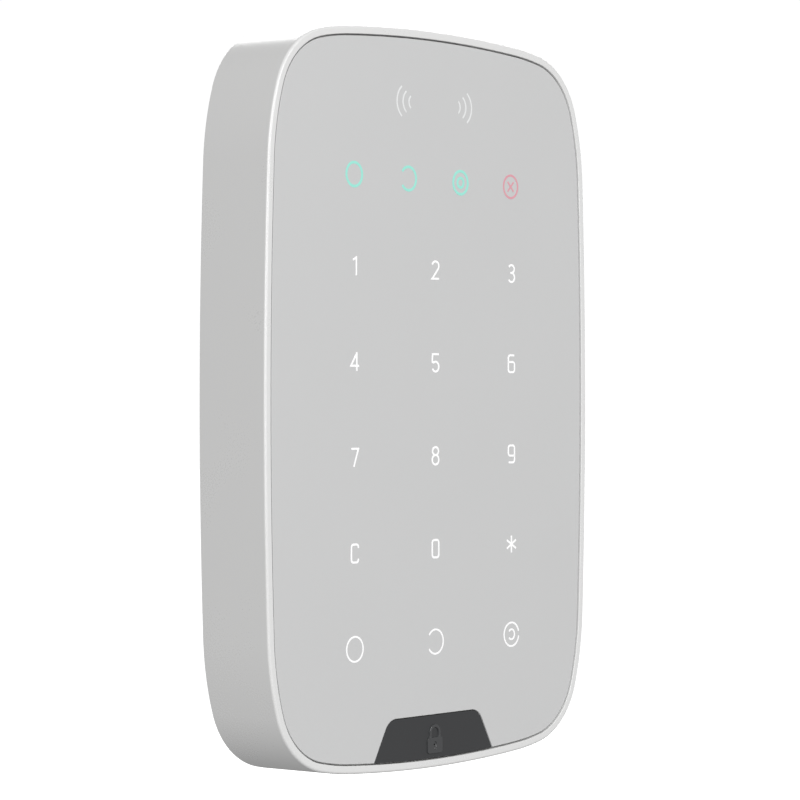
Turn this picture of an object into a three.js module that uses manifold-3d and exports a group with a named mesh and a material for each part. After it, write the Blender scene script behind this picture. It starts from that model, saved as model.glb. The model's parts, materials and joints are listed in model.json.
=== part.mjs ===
import * as THREE from 'three';
import { mergeVertices } from 'three/addons/utils/BufferGeometryUtils.js';
import Module from 'manifold-3d';

const wasm = await Module();
wasm.setup();

// A wireless alarm keypad on its wall bracket, in millimetres.
// The wall is the plane y = 0, the front faces -Y and +Z is up. x = z = 0 is the middle of the outline.
// Depths are y values, so a piece's front is its lowest y.

// ---- driving dimensions ----

// A quarter of the outline is five arcs. The joins are the directions, in degrees from +X, where one arc
// hands over to the next; the side and end radii follow from the overall size.
const outlineSize = {
  halfWidth: 56.5,
  halfHeight: 82.5,
  joins: [2.4, 17.7, 78.3, 85.55],
  sideShoulder: 63,
  corner: 18.6,
  endShoulder: 70.6,
  chordError: 0.11,
};

const housing = {
  front: -20,
  rear: -1,
  edgeRadius: 0.5,
  wall: 2,
  lip: 2,
  ledgeInner: 6,
  ledgeFront: -17.8,
  ledgeRear: -16.6,
};

const panel = { inset: 2.35, front: -19.8, rear: -18.2, edgeRadius: 0.2 };

const badge = {
  topZ: -70.6,
  halfTop: 15.7,
  slope: 0.55,
  cornerRadius: 4,
  bottomZ: -84,
  inset: 2.3,
  front: -19.7,
  rear: -18,
  gap: 0.15,
  pegX: 9,
  pegZ: -75,
  pegRadius: 1,
  pegRear: -16.9,
};

const adhesive = { outer: 3, inner: 5.6, front: -18.15, rear: -17.85 };

const keys = {
  columns: [-27.55, 0, 27.55],
  rows: [29, 8.2, -12.6, -33.4, -54.2],
  statusZ: 49,
  statusX: [-27.5, -9.15, 9.15, 27.5],
  windowRadius: 1.6,
};

const touchBoard = { inset: 6.6, front: -18.1, rear: -17.3, topZ: 58.5, badgeGap: 2 };
const led = { length: 4.4, height: 2, rear: -16.7 };
const reader = { halfWidth: 32, bottomZ: 60.5, topZ: 75.5, track: 3.5, rear: -17.5 };

const travel = 5; // how far the keypad slides up to leave its hooks

const cell = { radius: 7.1, length: 50.5, pitch: 15, y: -9.2, nubRadius: 2.75, nubLength: 1.2 };

const tray = {
  innerX: 30.2,
  bottomZ: -66,
  topZ: -9.6,
  wall: 1.4,
  rear: -5,
  ribRear: -11.5,
  ribThick: 0.5,
  slotWidth: 9,
};

const chassis = { inset: 2.4, front: -16.5, rear: -15.5 };
const contact = { thick: 0.5, width: 10, front: -13.7, rear: -4.9, gap: 0.1, nubGap: 0.2 };
const coil = { wire: 0.35, baseRadius: 4.2, tipRadius: 2.4, turns: 3 };

const mainBoard = { halfWidth: 43, bottomZ: 8, topZ: 66, front: -13.6, rear: -12 };
const boardFixing = { x: 39, inZ: 4, pillarRadius: 2.5 };
const boardLink = { halfWidth: 10, bottomZ: 53.5, topZ: 56.5, room: 0.6 };
const radioShield = { lowX: 10, lowZ: 13, highX: 34, highZ: 31, corner: 1, rear: -9.3, edgeRadius: 0.3 };
const controllerChip = { lowX: -8, lowZ: 17, size: 9, height: 1 };
const readerChip = { lowX: -12, lowZ: 50, size: 7, height: 1 };
const antenna = {
  innerX: 14,
  outerX: 34,
  lowZ: 60.6,
  thick: 0.5,
  front: -9,
  rear: -8,
  footX: [15, 31],
  footWidth: 2,
};
const socket = { halfWidth: 5, lowZ: 10, highZ: 16, rear: -7.9 };
const socketBore = { halfWidth: 4.2, lowZ: 9, highZ: 14, front: -11.4, rear: -8.4 };
const plug = { halfWidth: 4, lowZ: 6, highZ: 13.5, front: -11.2, rear: -8.6 };
const leadTab = { halfWidth: 1.5, front: -12.2, rear: -11.7, root: 0.2, height: 3.2 };

// Each lead leaves the plug, drops over the tray's top wall and turns forward to its tab.
const leadRadius = 0.7;
const leadRoute = [
  [2, -9.9, 5.7],
  [2.4, -9.9, 2.5],
  [7, -9.8, -1.5],
  [14, -10, -2.6],
  [20.5, -11.2, -3],
  [22.5, -11.9, -6],
];

const cover = { inset: 2.3, front: -4.7, rear: -3.2, padFront: -5.8, humpWall: 1.2, humpInner: -2 };
const coverBoss = { inset: 4.6, radius: 3, front: -16.9, rear: -6 };
const coverBossAngles = [0, 45, 135, 180, 225, 315];

const chassisBoss = { inset: 6.8, radius: 2.8, rear: -12.6, cupRadius: 4.5, cupRear: -11.3, angle: 1.9 };

const screw = { headRadius: 2.3, headHeight: 1, radius: 1, clearance: 0.3 };

const bracket = {
  inset: 3.5,
  front: -2.2,
  rear: 0,
  slideRoom: 0.6,
  windowX: 33,
  windowTopZ: -2.8,
  windowBottomZ: -68,
};

const hook = { x: 42, width: 8, stemHeight: 3, lipHeight: 4, lipThick: 1.2, gap: 0.2, stemZ: [50, -60] };
const sideWindow = { innerX: 17, outerX: 33, bottomZ: 22, topZ: 58 };
const tamperTab = { halfWidth: 12, bottomZ: 28, topZ: 52, slit: 1.2, bridge: 3, holeZ: 44 };
const wallHole = { radius: 2.3, headRadius: 4.4, places: [[-27, 68], [27, 68], [-43, -28], [43, -28]] };

const lug = { halfWidth: 5, front: -7, height: 4, holeRadius: 1.7, y: -4.6 };
const lockScrew = { radius: 1.45, headRadius: 2.5, headHeight: 1.4, sink: 0.2, tipZ: -70.8 };
const lockPadSize = { front: -7.9, rear: -1.3, topZ: -79.2 };

const tamper = { z: 34, radius: 2, tip: -3.05, shoulder: -5.6, collarRadius: 3, collarFront: -6.4, tail: -8 };
const ramp = { halfWidth: 3, face: -2.9, slope: 0.15 };
const button = { x: -26, z: 40, radius: 4, face: -3.4, flangeRadius: 5.2, tail: -7.5 };
const switchBody = { half: 3, rear: -8.6, boreRadius: 1.8, boreFront: -10.2, plungerRadius: 1.5 };
const buzzer = { x: 26, z: 40, radius: 6, rear: -7.2, soundRadius: 1.2, soundDepth: 1.5 };
const soundSlit = { count: 5, pitch: 2.2, width: 1, length: 9 };

// ---- outline ----

const radians = THREE.MathUtils.degToRad;

// The long side and end arcs are the two that close the quarter at the overall size.
function quarterArcs() {
  const [a, b, c, d] = outlineSize.joins.map(radians);
  const { sideShoulder, corner, endShoulder, halfWidth, halfHeight } = outlineSize;
  const middle = [[sideShoulder, a, b], [corner, b, c], [endShoulder, c, d]];
  let spanX = halfWidth;
  let spanZ = halfHeight;
  for (const [radius, from, to] of middle) {
    spanX -= radius * (Math.cos(from) - Math.cos(to));
    spanZ -= radius * (Math.sin(to) - Math.sin(from));
  }
  const sideX = 1 - Math.cos(a);
  const sideZ = Math.sin(a);
  const endX = Math.cos(d);
  const endZ = 1 - Math.sin(d);
  const scale = sideX * endZ - endX * sideZ;
  const side = (spanX * endZ - endX * spanZ) / scale;
  const end = (sideX * spanZ - sideZ * spanX) / scale;
  const arcs = [[side, 0, a], ...middle, [end, d, Math.PI / 2]];
  let x = halfWidth - side;
  let z = 0;
  return arcs.map(([radius, from, to], i) => {
    if (i > 0) {
      x += (arcs[i - 1][0] - radius) * Math.cos(from);
      z += (arcs[i - 1][0] - radius) * Math.sin(from);
    }
    return { radius, from, to, x, z };
  });
}

const arcs = quarterArcs();

// The point of the outline that faces a direction, moved inwards by the inset.
function edgePoint(degrees, inset) {
  const angle = radians(degrees);
  const facing = Math.atan2(Math.abs(Math.sin(angle)), Math.abs(Math.cos(angle)));
  const arc = arcs.find((each) => facing <= each.to + 1e-9) ?? arcs[arcs.length - 1];
  const x = arc.x + (arc.radius - inset) * Math.cos(facing);
  const z = arc.z + (arc.radius - inset) * Math.sin(facing);
  return new THREE.Vector2(x * Math.sign(Math.cos(angle)), z * Math.sign(Math.sin(angle)));
}

// Directions all round, close enough together to keep each chord within the chord error.
function outlineDirections() {
  const quarter = arcs.flatMap(({ radius, from, to }) => {
    const steps = Math.ceil((to - from) / Math.sqrt((8 * outlineSize.chordError) / radius));
    const step = (to - from) / steps;
    return Array.from({ length: steps }, (_, i) => THREE.MathUtils.radToDeg(from + i * step));
  });
  const half = [...quarter, 90, ...quarter.slice(1).reverse().map((each) => 180 - each)];
  return [...half, ...half.map((each) => each + 180)];
}

const directions = outlineDirections();

function outline(inset) {
  return new THREE.Shape(directions.map((each) => edgePoint(each, inset)));
}

// The bracket follows the outline, shortened from below so that the housing has room to slide up round it.
function bracketOutline() {
  const top = outlineSize.halfHeight - bracket.inset;
  const low = -top + travel + bracket.slideRoom;
  const points = directions.map((each) => edgePoint(each, bracket.inset));
  return new THREE.Shape(points.map(({ x, y }) => (
    new THREE.Vector2(x, THREE.MathUtils.mapLinear(y, -top, top, low, top))
  )));
}

// ---- shapes and solids ----

function rectangle(lowX, lowZ, highX, highZ, radius = 0) {
  const shape = new THREE.Shape();
  if (radius === 0) {
    shape.moveTo(lowX, lowZ).lineTo(highX, lowZ).lineTo(highX, highZ).lineTo(lowX, highZ);
    return shape;
  }
  shape.absarc(highX - radius, lowZ + radius, radius, -Math.PI / 2, 0);
  shape.absarc(highX - radius, highZ - radius, radius, 0, Math.PI / 2);
  shape.absarc(lowX + radius, highZ - radius, radius, Math.PI / 2, Math.PI);
  shape.absarc(lowX + radius, lowZ + radius, radius, Math.PI, Math.PI * 1.5);
  return shape;
}

// The badge's trapezoid with rounded top corners, grown by the margin. It runs past the rim at the bottom.
function badgeShape(margin) {
  const lean = Math.atan(badge.slope);
  const centreX = badge.halfTop - (badge.cornerRadius * (1 - Math.sin(lean))) / Math.cos(lean);
  const centreZ = badge.topZ - badge.cornerRadius;
  const radius = badge.cornerRadius + margin;
  const drop = centreZ + radius * Math.sin(lean) - badge.bottomZ;
  const footX = centreX + radius * Math.cos(lean) + drop * badge.slope;
  const shape = new THREE.Shape();
  shape.absarc(centreX, centreZ, radius, lean, Math.PI / 2);
  shape.absarc(-centreX, centreZ, radius, Math.PI / 2, Math.PI - lean);
  shape.lineTo(-footX, badge.bottomZ);
  shape.lineTo(footX, badge.bottomZ);
  return shape;
}

function solid(geometry) {
  const bare = geometry.clone();
  bare.deleteAttribute('normal');
  bare.deleteAttribute('uv');
  const merged = mergeVertices(bare, 1e-4);
  const vertProperties = Float32Array.from(merged.attributes.position.array);
  const triVerts = Uint32Array.from(merged.index.array);
  return new wasm.Manifold(new wasm.Mesh({ numProp: 3, vertProperties, triVerts }));
}

const join = (...solids) => solids.reduce((sum, each) => sum.add(each));
const cut = (base, ...tools) => tools.reduce((rest, each) => rest.subtract(each), base);

// A shape drawn on x and z, as thick as the two depths say, with its edges rounded if asked.
function plate(shape, front, rear, round = 0, bevelSegments = 1) {
  const geometry = new THREE.ExtrudeGeometry(shape, {
    depth: rear - front - 2 * round,
    curveSegments: 2,
    bevelEnabled: round > 0,
    bevelThickness: round,
    bevelSize: round,
    bevelOffset: -round,
    bevelSegments,
  });
  geometry.rotateX(Math.PI / 2);
  geometry.translate(0, rear - round, 0);
  return solid(geometry);
}

// A side view drawn on y and z, drawn out along x.
function bar(points, lowX, highX) {
  const shape = new THREE.Shape(points.map(([y, z]) => new THREE.Vector2(y, z)));
  const geometry = new THREE.ExtrudeGeometry(shape, { depth: highX - lowX, bevelEnabled: false });
  const alongX = new THREE.Vector3(1, 0, 0);
  const alongY = new THREE.Vector3(0, 1, 0);
  const alongZ = new THREE.Vector3(0, 0, 1);
  geometry.applyMatrix4(new THREE.Matrix4().makeBasis(alongY, alongZ, alongX));
  geometry.translate(lowX, 0, 0);
  return solid(geometry);
}

function block(low, high) {
  const [x, y, z] = low.map((each, i) => high[i] - each);
  const geometry = new THREE.BoxGeometry(x, y, z);
  geometry.translate(...low.map((each, i) => (each + high[i]) / 2));
  return solid(geometry);
}

// A round solid along y. The second radius, when given, is the one at the front.
function pin(x, z, front, rear, radius, frontRadius = radius, sides = 10) {
  const geometry = new THREE.CylinderGeometry(radius, frontRadius, rear - front, sides);
  geometry.translate(x, (front + rear) / 2, z);
  return solid(geometry);
}

// A round solid along z.
function post(y, low, high, radius, sides = 12) {
  const geometry = new THREE.CylinderGeometry(radius, radius, high - low, sides);
  geometry.rotateX(Math.PI / 2);
  geometry.translate(0, y, (low + high) / 2);
  return solid(geometry);
}

function lathe(profile, sides) {
  return new THREE.LatheGeometry(profile.map(([radius, along]) => new THREE.Vector2(radius, along)), sides);
}

// A turned solid along y from a list of radius and y.
function turned(x, z, profile, sides = 12) {
  const geometry = lathe(profile, sides);
  geometry.translate(x, 0, z);
  return solid(geometry);
}

// A turned solid along z from a list of radius and z.
function turnedUp(x, y, profile, sides = 12) {
  const geometry = lathe(profile, sides);
  geometry.rotateX(Math.PI / 2);
  geometry.translate(x, y, 0);
  return solid(geometry);
}

function tube(curve, radius, steps, sides) {
  const section = new THREE.Shape();
  for (let i = 0; i < sides; i += 1) {
    const angle = (i / sides) * 2 * Math.PI;
    const point = [radius * Math.cos(angle), radius * Math.sin(angle)];
    if (i === 0) section.moveTo(...point);
    else section.lineTo(...point);
  }
  return solid(new THREE.ExtrudeGeometry(section, { steps, extrudePath: curve, bevelEnabled: false }));
}

// A coil whose radius runs evenly from one end to the other.
class Helix extends THREE.Curve {
  constructor(start, along, length, firstRadius, lastRadius, turns) {
    super();
    Object.assign(this, { start, along, length, firstRadius, lastRadius, turns });
    this.across = new THREE.Vector3(1, 0, 0);
    this.up = new THREE.Vector3().crossVectors(along, this.across);
  }

  getPoint(t, target = new THREE.Vector3()) {
    const angle = 2 * Math.PI * this.turns * t;
    const radius = THREE.MathUtils.lerp(this.firstRadius, this.lastRadius, t);
    return target.copy(this.start)
      .addScaledVector(this.along, this.length * t)
      .addScaledVector(this.across, radius * Math.cos(angle))
      .addScaledVector(this.up, radius * Math.sin(angle));
  }
}

// ---- finishes ----

function finish(color, roughness, metalness = 0) {
  return new THREE.MeshStandardMaterial({ color, roughness, metalness });
}

const whitePlastic = finish('#e8e9ea', 0.5);
const greyPanel = finish('#cbcccd', 0.4);
const darkPlastic = finish('#444546', 0.55);
const innerPlastic = finish('#d2d4d6', 0.6);
const tape = finish('#2a2b2c', 0.8);
const boardGreen = finish('#1f5a3c', 0.5);
const chipBlack = finish('#1c1c1e', 0.45);
const steel = finish('#b9bcbf', 0.35, 1);
const gold = finish('#c8a45a', 0.35, 1);
const cellSleeve = finish('#3b4c63', 0.4);
const redWire = finish('#b3262a', 0.5);
const blackWire = finish('#1d1d1f', 0.5);
const ledLens = finish('#e6efe9', 0.25);

const group = new THREE.Group();

function add(name, shape, material) {
  const mesh = shape.getMesh();
  const geometry = new THREE.BufferGeometry();
  geometry.setAttribute('position', new THREE.Float32BufferAttribute(mesh.vertProperties, 3));
  geometry.setIndex([...mesh.triVerts]);
  geometry.computeVertexNormals();
  const part = new THREE.Mesh(geometry, material);
  part.name = name;
  group.add(part);
}

// ---- places shared by several pieces ----

const coverScrewPlaces = coverBossAngles.map((each) => edgePoint(each, coverBoss.inset));
const chassisScrewPlaces = [chassisBoss.angle, 180 - chassisBoss.angle, 180 + chassisBoss.angle,
  360 - chassisBoss.angle].map((each) => edgePoint(each, chassisBoss.inset));
const boardScrewPlaces = [-1, 1].flatMap((side) => [
  new THREE.Vector2(side * boardFixing.x, mainBoard.bottomZ + boardFixing.inZ),
  new THREE.Vector2(side * boardFixing.x, mainBoard.topZ - boardFixing.inZ),
]);
const cellPlaces = [-1.5, -0.5, 0.5, 1.5].map((each) => each * cell.pitch);
const bottomZ = -outlineSize.halfHeight;
const keyPlaces = keys.rows.flatMap((z) => keys.columns.map((x) => new THREE.Vector2(x, z)));
const statusPlaces = keys.statusX.map((x) => new THREE.Vector2(x, keys.statusZ));
const hookPlaces = [-1, 1].flatMap((side) => hook.stemZ.map((z) => new THREE.Vector2(side * hook.x, z)));
const lugTopZ = bottomZ + bracket.inset + travel + bracket.slideRoom + lug.height;

// ---- front ----

function frontHousing() {
  const shell = cut(
    plate(outline(0), housing.front, housing.rear, housing.edgeRadius, 2),
    plate(outline(housing.lip), housing.front - 1, housing.ledgeFront),
    plate(outline(housing.ledgeInner), housing.front - 1, housing.rear + 1),
    plate(outline(housing.wall), housing.ledgeRear, housing.rear + 1),
  );
  const shelf = plate(badgeShape(1), housing.ledgeFront, housing.ledgeRear)
    .intersect(plate(outline(1), housing.front, housing.rear));
  const { front: padFront, rear: padRear, topZ: padTopZ } = lockPadSize;
  const lockPad = block([-lug.halfWidth, padFront, bottomZ + 1], [lug.halfWidth, padRear, padTopZ]);
  const { front } = coverBoss;
  const tall = coverScrewPlaces.map(({ x, y }) => pin(x, y, front, coverBoss.rear, coverBoss.radius));
  const short = chassisScrewPlaces.map(({ x, y }) => pin(x, y, front, chassisBoss.rear, chassisBoss.radius));
  const pegHoles = [-1, 1].map((side) => pin(side * badge.pegX, badge.pegZ, -19, -15, badge.pegRadius + 0.2));
  const pilot = screw.radius + 0.15;
  const tallPilots = coverScrewPlaces.map(({ x, y }) => pin(x, y, -14.5, coverBoss.rear + 1, pilot));
  const shortPilots = chassisScrewPlaces.map(({ x, y }) => pin(x, y, -16.4, chassisBoss.rear + 1, pilot));
  const lockHole = post(lug.y, bottomZ - 1, padTopZ + 1, lockScrew.radius + 0.25);
  const sinkTop = bottomZ + lockScrew.sink + lockScrew.headHeight + 0.1;
  const lockSink = post(lug.y, bottomZ - 1, sinkTop, lockScrew.headRadius + 0.25);
  return cut(
    join(shell, shelf, lockPad, ...tall, ...short),
    ...pegHoles, ...tallPilots, ...shortPilots, lockHole, lockSink,
  );
}

function touchPanel() {
  const notch = plate(badgeShape(badge.gap), panel.front - 1, panel.rear + 1);
  return cut(plate(outline(panel.inset), panel.front, panel.rear, panel.edgeRadius), notch);
}

function frontBadge() {
  const face = plate(badgeShape(0), badge.front, badge.rear)
    .intersect(plate(outline(badge.inset), badge.front, badge.rear));
  const pegs = [-1, 1].map((side) => (
    pin(side * badge.pegX, badge.pegZ, badge.rear - 0.2, badge.pegRear, badge.pegRadius)
  ));
  return join(face, ...pegs);
}

function panelAdhesive() {
  const { outer, inner, front, rear } = adhesive;
  return cut(
    plate(outline(outer), front, rear),
    plate(outline(inner), front - 1, rear + 1),
    plate(badgeShape(1.2), front - 1, rear + 1),
  );
}

// ---- touch board and reader ----

function lampBlock({ x, y }, front) {
  const [halfX, halfZ] = [led.length / 2, led.height / 2];
  return block([x - halfX, front, y - halfZ], [x + halfX, led.rear, y + halfZ]);
}

function touchBoardSheet() {
  const { inset, front, rear, topZ, badgeGap } = touchBoard;
  const windows = [...keyPlaces, ...statusPlaces].map(({ x, y }) => (
    pin(x, y, front - 1, rear + 1, keys.windowRadius, keys.windowRadius, 6)
  ));
  const sheet = cut(
    plate(outline(inset), front, rear),
    block([-60, front - 1, topZ], [60, rear + 1, 90]),
    plate(badgeShape(badgeGap), front - 1, rear + 1),
    ...windows,
  );
  return join(sheet, ...keyPlaces.map((place) => lampBlock(place, rear - 0.05)));
}

function readerAntenna() {
  const { halfWidth, bottomZ: low, topZ: high, track, rear } = reader;
  const { front, inset } = touchBoard;
  const outer = rectangle(-halfWidth, low, halfWidth, high, 3);
  const inner = rectangle(-halfWidth + track, low + track, halfWidth - track, high - track, 2);
  return cut(plate(outer, front, rear), plate(inner, front - 1, rear + 1))
    .intersect(plate(outline(inset), front, rear));
}

// ---- chassis, cells and contacts ----

function chassisMoulding() {
  const { innerX, bottomZ: low, topZ: high, wall, ribThick } = tray;
  const floor = plate(outline(chassis.inset), chassis.front, chassis.rear);
  const trayOutside = rectangle(-innerX - wall, low - wall, innerX + wall, high + wall, 1);
  const trayWalls = cut(
    plate(trayOutside, chassis.rear - 0.5, tray.rear),
    block([-innerX, chassis.rear, low], [innerX, 0, high]),
  );
  const ribs = [-1, 0, 1].map((i) => block(
    [i * cell.pitch - ribThick / 2, chassis.rear - 0.5, low + 1.1],
    [i * cell.pitch + ribThick / 2, tray.ribRear, high - 1.1],
  ));
  const pillars = boardScrewPlaces.map(({ x, y }) => (
    pin(x, y, chassis.rear - 0.5, mainBoard.front - 0.1, boardFixing.pillarRadius)
  ));
  const cups = chassisScrewPlaces.map(({ x, y }) => (
    pin(x, y, chassis.rear - 0.5, chassisBoss.cupRear, chassisBoss.cupRadius)
  ));
  const room = screw.clearance;
  const cellSlots = cellPlaces.map((x) => block(
    [x - tray.slotWidth / 2, chassis.front - 1, low + 0.6],
    [x + tray.slotWidth / 2, chassis.rear + 0.2, high - 0.6],
  ));
  const tabNotches = [cellPlaces[0], cellPlaces[3]].map((x) => (
    block([x - 1.8, -12.6, high - 1], [x + 1.8, 0, high + 3])
  ));
  const bossRooms = coverScrewPlaces.map(({ x, y }) => pin(x, y, -20, 0, coverBoss.radius + room));
  const cupRooms = chassisScrewPlaces.map(({ x, y }) => (
    pin(x, y, -20, chassisBoss.rear + 0.2, chassisBoss.radius + room)
  ));
  const holes = [...chassisScrewPlaces, ...boardScrewPlaces].map(({ x, y }) => (
    pin(x, y, -20, 0, screw.radius + room)
  ));
  const { halfWidth: linkHalf, bottomZ: linkLow, topZ: linkHigh, room: linkRoom } = boardLink;
  const linkSlot = block(
    [-linkHalf - linkRoom, -20, linkLow - linkRoom],
    [linkHalf + linkRoom, -15, linkHigh + linkRoom],
  );
  return cut(
    join(floor, trayWalls, ...ribs, ...pillars, ...cups),
    ...cellSlots, ...tabNotches, ...bossRooms, ...cupRooms, ...holes, linkSlot,
  );
}

// An AA cell: its nub points up or down, just clear of the contact plate.
function cellCan(x, nubUp) {
  const lowPlate = tray.bottomZ + contact.gap + contact.thick;
  const highPlate = tray.topZ - contact.gap - contact.thick;
  const { radius, length, nubRadius, nubLength } = cell;
  const profile = [
    [0, 0],
    [radius - 0.6, 0],
    [radius, 0.6],
    [radius, length - nubLength - 0.6],
    [radius - 0.6, length - nubLength],
    [nubRadius, length - nubLength],
    [nubRadius, length],
    [0, length],
  ];
  const nubEnd = nubUp ? highPlate - contact.nubGap : lowPlate + contact.nubGap;
  const placed = nubUp
    ? profile.map(([r, along]) => [r, nubEnd - length + along])
    : profile.map(([r, along]) => [r, nubEnd + length - along]).reverse();
  return turnedUp(x, cell.y, placed, 14);
}

// A contact plate at one end of the tray, a coil for each negative end and a tab where a lead starts.
function contactPlate(firstX, lastX, atTop, coilX, tabX) {
  const face = atTop ? tray.topZ - contact.gap : tray.bottomZ + contact.gap;
  const into = atTop ? -1 : 1;
  const inner = face + into * contact.thick;
  const half = contact.width / 2;
  const sheet = block(
    [firstX - half, contact.front, Math.min(face, inner)],
    [lastX + half, contact.rear, Math.max(face, inner)],
  );
  const pieces = [sheet];
  if (coilX !== null) {
    const room = tray.topZ - tray.bottomZ - 2 * (contact.gap + contact.thick) - contact.nubGap - cell.length;
    const length = room - coil.wire - 0.05;
    const start = new THREE.Vector3(coilX, cell.y, inner - into * 0.1);
    const along = new THREE.Vector3(0, 0, into);
    const path = new Helix(start, along, length, coil.baseRadius, coil.tipRadius, coil.turns);
    pieces.push(tube(path, coil.wire, coil.turns * 8, 4));
  }
  if (tabX !== null) {
    const { halfWidth, front, rear, root, height } = leadTab;
    pieces.push(block([tabX - halfWidth, front, face - root], [tabX + halfWidth, rear, face + height]));
  }
  return join(...pieces);
}

function lead(side) {
  const points = leadRoute.map(([x, y, z]) => new THREE.Vector3(side * x, y, z));
  return tube(new THREE.CatmullRomCurve3(points), leadRadius, 14, 8);
}

// ---- main board and what it carries ----

const onBoard = mainBoard.rear + 0.1;

function mainBoardSheet() {
  const { halfWidth, bottomZ: low, topZ: high, front, rear } = mainBoard;
  const holeRadius = screw.radius + screw.clearance;
  const holes = boardScrewPlaces.map(({ x, y }) => pin(x, y, front - 1, rear + 1, holeRadius));
  return cut(plate(rectangle(-halfWidth, low, halfWidth, high, 2), front, rear), ...holes);
}

function switchHousing({ x, z }) {
  const { half, rear, boreFront, boreRadius } = switchBody;
  const body = block([x - half, onBoard, z - half], [x + half, rear, z + half]);
  return cut(body, pin(x, z, boreFront, rear + 1, boreRadius));
}

function buzzerCan() {
  const { x, z, radius, rear } = buzzer;
  const { soundRadius, soundDepth } = buzzer;
  const profile = [
    [0, onBoard],
    [radius, onBoard],
    [radius, rear],
    [soundRadius, rear],
    [soundRadius, rear - soundDepth],
    [0, rear - soundDepth],
  ];
  return turned(x, z, profile, 12);
}

function stripAntenna(side) {
  const { innerX, outerX, lowZ, thick, front, rear, footX, footWidth } = antenna;
  const strip = block([innerX, front, lowZ], [outerX, rear, lowZ + thick]);
  const feet = footX.map((x) => (
    block([x, onBoard, lowZ], [x + footWidth, (front + rear) / 2, lowZ + thick])
  ));
  const whole = join(strip, ...feet);
  return side > 0 ? whole : whole.mirror([1, 0, 0]);
}

function chip({ lowX, lowZ, size, height }) {
  return block([lowX, onBoard, lowZ], [lowX + size, onBoard + height, lowZ + size]);
}

function shieldCan() {
  const { lowX, lowZ, highX, highZ, corner, rear, edgeRadius } = radioShield;
  return plate(rectangle(lowX, lowZ, highX, highZ, corner), onBoard, rear, edgeRadius);
}

function boardLinkBlock() {
  const { halfWidth, bottomZ: low, topZ: high } = boardLink;
  return block([-halfWidth, touchBoard.rear + 0.1, low], [halfWidth, mainBoard.front - 0.1, high]);
}

function batterySocket() {
  const { halfWidth, lowZ, highZ, rear } = socket;
  const bore = socketBore;
  return cut(
    block([-halfWidth, onBoard, lowZ], [halfWidth, rear, highZ]),
    block([-bore.halfWidth, bore.front, bore.lowZ], [bore.halfWidth, bore.rear, bore.highZ]),
  );
}

function batteryPlug() {
  const { halfWidth, lowZ, highZ, front, rear } = plug;
  return block([-halfWidth, front, lowZ], [halfWidth, rear, highZ]);
}

// ---- rear cover ----

function rearCover() {
  const { front, rear, inset, padFront, humpWall, humpInner } = cover;
  const { innerX, bottomZ: low, topZ: high } = tray;
  const wall = humpWall;
  const sheet = plate(outline(inset), front, rear);
  const pads = coverScrewPlaces.map(({ x, y }) => pin(x, y, padFront, rear, 3.6));
  const humpOutside = rectangle(-innerX - wall, low - wall, innerX + wall, high + wall, 1.5);
  const hump = plate(humpOutside, front, humpInner + wall);
  const whole = join(sheet, ...pads, hump).intersect(plate(outline(inset), padFront, 0));
  const hookSlots = hookPlaces.map(({ x, y }) => block(
    [x - hook.width / 2 - 0.5, padFront, y - travel - 0.5],
    [x + hook.width / 2 + 0.5, 0, y + hook.stemHeight + 0.3],
  ));
  const slits = Array.from({ length: soundSlit.count }, (_, i) => {
    const slitZ = buzzer.z + (i - (soundSlit.count - 1) / 2) * soundSlit.pitch;
    return block(
      [buzzer.x - soundSlit.length / 2, padFront, slitZ - soundSlit.width / 2],
      [buzzer.x + soundSlit.length / 2, 0, slitZ + soundSlit.width / 2],
    );
  });
  return cut(
    whole,
    block([-innerX, padFront, low], [innerX, humpInner, high]),
    ...coverScrewPlaces.map(({ x, y }) => pin(x, y, -8, 0, screw.radius + screw.clearance)),
    ...coverScrewPlaces.map(({ x, y }) => pin(x, y, rear - 1.3, 0, screw.headRadius + screw.clearance)),
    ...hookSlots,
    ...slits,
    block([-lug.halfWidth - 1.2, padFront, bottomZ], [lug.halfWidth + 1.2, 0, lugTopZ + 0.8]),
    pin(0, tamper.z, -8, 0, tamper.radius + 0.2),
    pin(button.x, button.z, -8, 0, button.radius + 0.2, button.radius + 0.2, 16),
  );
}

// A pan-head screw pointing to the front: the underside of its head and its tip.
function machineScrew({ x, y }, seat, tip) {
  const { radius, headRadius, headHeight } = screw;
  const profile = [
    [0, tip],
    [radius, tip + 0.6],
    [radius, seat],
    [headRadius, seat],
    [headRadius, seat + headHeight * 0.6],
    [headRadius * 0.7, seat + headHeight],
    [0, seat + headHeight],
  ];
  return turned(x, y, profile, 8);
}

function lockingScrew() {
  const { radius, headRadius, headHeight, sink, tipZ } = lockScrew;
  const low = bottomZ + sink;
  const profile = [
    [0, low],
    [headRadius, low],
    [headRadius, low + headHeight],
    [radius, low + headHeight],
    [radius, tipZ - 0.6],
    [radius * 0.5, tipZ],
    [0, tipZ],
  ];
  return turnedUp(0, lug.y, profile, 12);
}

// ---- button, tamper plunger and switches ----

function powerButton() {
  const { x, z, radius, face, flangeRadius, tail } = button;
  const flangeRear = cover.front - 0.2;
  const profile = [
    [0, tail],
    [switchBody.plungerRadius, tail],
    [switchBody.plungerRadius, flangeRear - 0.8],
    [flangeRadius, flangeRear - 0.8],
    [flangeRadius, flangeRear],
    [radius, flangeRear],
    [radius, face - 0.3],
    [radius - 0.3, face],
    [0, face],
  ];
  return turned(x, z, profile, 16);
}

function tamperPlunger() {
  const { z, radius, tip, shoulder, collarRadius, collarFront, tail } = tamper;
  const dome = [0, 30, 60].map(radians).map((each) => [
    radius * Math.cos(each),
    tip - radius + radius * Math.sin(each),
  ]);
  const profile = [
    [0, tail],
    [1.2, tail],
    [1.2, collarFront],
    [collarRadius, collarFront],
    [collarRadius, shoulder],
    [radius, shoulder],
    ...dome,
    [0, tip],
  ];
  return turned(0, z, profile, 12);
}

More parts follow.
